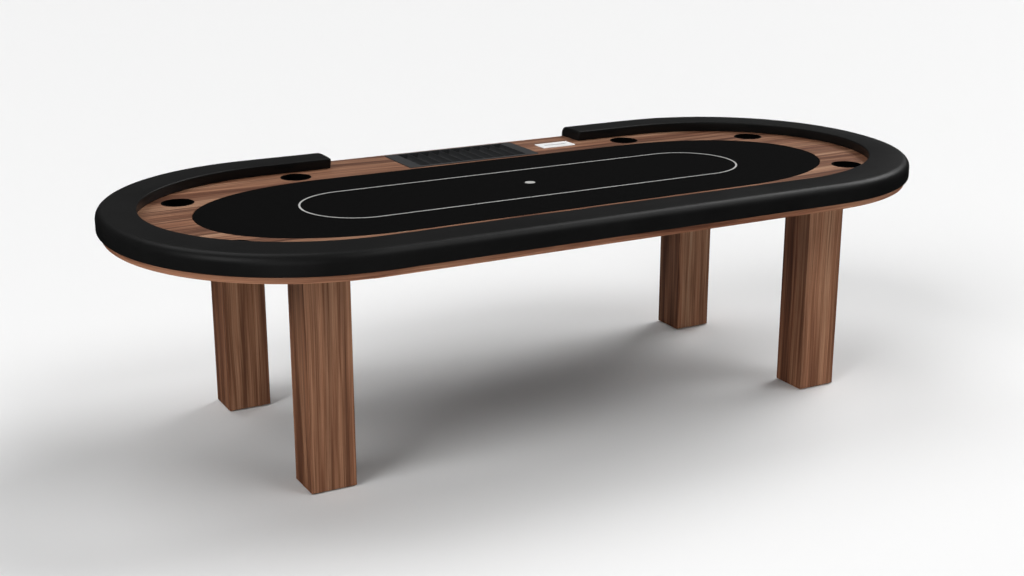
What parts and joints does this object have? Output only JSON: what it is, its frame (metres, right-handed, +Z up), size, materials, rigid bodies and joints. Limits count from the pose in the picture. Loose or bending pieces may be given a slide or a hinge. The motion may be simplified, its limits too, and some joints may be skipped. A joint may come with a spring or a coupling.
{
  "type": "oval poker table",
  "caption": "Oval poker table with a padded rail, walnut racetrack, lift-out cloth playing surface, drop-in cup holders, a dealer's chip tray and drop slot, and box legs on levelling feet.",
  "frame": {"origin": "on the floor under the middle of the table", "axes": "+X along the table's length, +Y towards the dealer's cut-out in the rail, +Z up"},
  "size_m": [2.77, 1.265, 0.762],
  "materials": {
    "walnut": "satin lacquer, grain along the table",
    "walnut_leg": "satin lacquer, upright grain",
    "plywood": "bare birch plywood",
    "beam_timber": "planed softwood",
    "rail_leatherette": "black upholstery leatherette, satin",
    "foam": "cut foam",
    "speed_cloth": "black speed cloth, matt",
    "white_print": "white screen print on cloth",
    "cup_black": "matt black powder coat",
    "tray_black": "moulded, fine texture",
    "polished_steel": "mirror polished stainless",
    "steel": "zinc plated",
    "black_steel": "black coated sheet",
    "brass": "plain",
    "foot_plastic": "hard black nylon"
  },
  "bodies": {
    "table_frame": {"base_board_back_left": "plywood", "base_board_back_right": "plywood", "base_board_front": "plywood", "base_board_hatch": "plywood", "base_board_left_end": "plywood", "base_board_right_end": "plywood", "base_edge_band": "walnut", "beam_screws": "steel", "cross_beam_left": "beam_timber", "cross_beam_middle": "beam_timber", "cross_beam_right": "beam_timber", "deck_screws": "steel", "drop_slot_chute": "black_steel", "drop_slot_plate": "polished_steel", "drop_slot_screws": "polished_steel", "foot_inserts": "brass", "leg_back_left": "walnut_leg", "leg_back_right": "walnut_leg", "leg_bolts": "steel", "leg_foot_blocks": "plywood", "leg_front_left": "walnut_leg", "leg_front_right": "walnut_leg", "leg_plates": "steel", "leg_top_blocks": "plywood", "long_beam_back": "beam_timber", "long_beam_front": "beam_timber", "racetrack_dealer_side": "walnut", "racetrack_front": "walnut", "racetrack_left_end": "walnut", "racetrack_right_end": "walnut", "rail_bolts": "steel", "rail_core": "plywood", "rail_cover": "rail_leatherette", "rail_foam": "foam", "rail_foam_front_right": "foam", "rail_skirt": "plywood", "rail_tee_nuts": "steel"},
    "playing_surface": {"surface_board": "plywood", "surface_foam": "foam", "playing_cloth": "speed_cloth", "betting_line": "white_print", "centre_spot": "white_print"},
    "chip_tray": {"chip_tray": "tray_black"},
    "cup_front_left": {"cup_holder_front_left": "cup_black"},
    "cup_front_middle": {"cup_holder_front_middle": "cup_black"},
    "cup_front_right": {"cup_holder_front_right": "cup_black"},
    "cup_back_left": {"cup_holder_back_left": "cup_black"},
    "cup_back_right": {"cup_holder_back_right": "cup_black"},
    "cup_left_end_front": {"cup_holder_left_end_front": "cup_black"},
    "cup_left_end_back": {"cup_holder_left_end_back": "cup_black"},
    "cup_right_end_front": {"cup_holder_right_end_front": "cup_black"},
    "cup_right_end_back": {"cup_holder_right_end_back": "cup_black"},
    "foot_pad_front_left": {"foot_pad_front_left": "foot_plastic"},
    "foot_stem_front_left": {"foot_stem_front_left": "steel"},
    "foot_pad_front_right": {"foot_pad_front_right": "foot_plastic"},
    "foot_stem_front_right": {"foot_stem_front_right": "steel"},
    "foot_pad_back_left": {"foot_pad_back_left": "foot_plastic"},
    "foot_stem_back_left": {"foot_stem_back_left": "steel"},
    "foot_pad_back_right": {"foot_pad_back_right": "foot_plastic"},
    "foot_stem_back_right": {"foot_stem_back_right": "steel"}
  },
  "joints": [
    {"name": "playing_surface_lift", "type": "slide", "parent": "table_frame", "child": "playing_surface", "axis": [0, 0, 1], "range_m": [0, 0.1]},
    {"name": "chip_tray_lift", "type": "slide", "parent": "table_frame", "child": "chip_tray", "axis": [0, 0, 1], "range_m": [0, 0.1]},
    {"name": "cup_front_left_lift", "type": "slide", "parent": "table_frame", "child": "cup_front_left", "axis": [0, 0, 1], "range_m": [0, 0.12]},
    {"name": "cup_front_middle_lift", "type": "slide", "parent": "table_frame", "child": "cup_front_middle", "axis": [0, 0, 1], "range_m": [0, 0.12]},
    {"name": "cup_front_right_lift", "type": "slide", "parent": "table_frame", "child": "cup_front_right", "axis": [0, 0, 1], "range_m": [0, 0.12]},
    {"name": "cup_back_left_lift", "type": "slide", "parent": "table_frame", "child": "cup_back_left", "axis": [0, 0, 1], "range_m": [0, 0.12]},
    {"name": "cup_back_right_lift", "type": "slide", "parent": "table_frame", "child": "cup_back_right", "axis": [0, 0, 1], "range_m": [0, 0.12]},
    {"name": "cup_left_end_front_lift", "type": "slide", "parent": "table_frame", "child": "cup_left_end_front", "axis": [0, 0, 1], "range_m": [0, 0.12]},
    {"name": "cup_left_end_back_lift", "type": "slide", "parent": "table_frame", "child": "cup_left_end_back", "axis": [0, 0, 1], "range_m": [0, 0.12]},
    {"name": "cup_right_end_front_lift", "type": "slide", "parent": "table_frame", "child": "cup_right_end_front", "axis": [0, 0, 1], "range_m": [0, 0.12]},
    {"name": "cup_right_end_back_lift", "type": "slide", "parent": "table_frame", "child": "cup_right_end_back", "axis": [0, 0, 1], "range_m": [0, 0.12]},
    {"name": "foot_front_left_extend", "type": "slide", "parent": "table_frame", "child": "foot_pad_front_left", "axis": [0, 0, -1], "range_m": [0, 0.012]},
    {"name": "foot_front_left_turn", "type": "hinge", "parent": "foot_pad_front_left", "child": "foot_stem_front_left", "pos_m": [-0.881, -0.3655, 0.02], "axis": [0, 0, -1], "range_deg": [0, 3457]},
    {"name": "foot_front_right_extend", "type": "slide", "parent": "table_frame", "child": "foot_pad_front_right", "axis": [0, 0, -1], "range_m": [0, 0.012]},
    {"name": "foot_front_right_turn", "type": "hinge", "parent": "foot_pad_front_right", "child": "foot_stem_front_right", "pos_m": [0.881, -0.3655, 0.02], "axis": [0, 0, -1], "range_deg": [0, 3457]},
    {"name": "foot_back_left_extend", "type": "slide", "parent": "table_frame", "child": "foot_pad_back_left", "axis": [0, 0, -1], "range_m": [0, 0.012]},
    {"name": "foot_back_left_turn", "type": "hinge", "parent": "foot_pad_back_left", "child": "foot_stem_back_left", "pos_m": [-0.881, 0.3655, 0.02], "axis": [0, 0, -1], "range_deg": [0, 3457]},
    {"name": "foot_back_right_extend", "type": "slide", "parent": "table_frame", "child": "foot_pad_back_right", "axis": [0, 0, -1], "range_m": [0, 0.012]},
    {"name": "foot_back_right_turn", "type": "hinge", "parent": "foot_pad_back_right", "child": "foot_stem_back_right", "pos_m": [0.881, 0.3655, 0.02], "axis": [0, 0, -1], "range_deg": [0, 3457]}
  ],
  "couplings": [
    {"joint": "foot_front_left_turn", "follows": "foot_front_left_extend", "rad_per_m": 5026.5},
    {"joint": "foot_front_right_turn", "follows": "foot_front_right_extend", "rad_per_m": 5026.5},
    {"joint": "foot_back_left_turn", "follows": "foot_back_left_extend", "rad_per_m": 5026.5},
    {"joint": "foot_back_right_turn", "follows": "foot_back_right_extend", "rad_per_m": 5026.5}
  ]
}
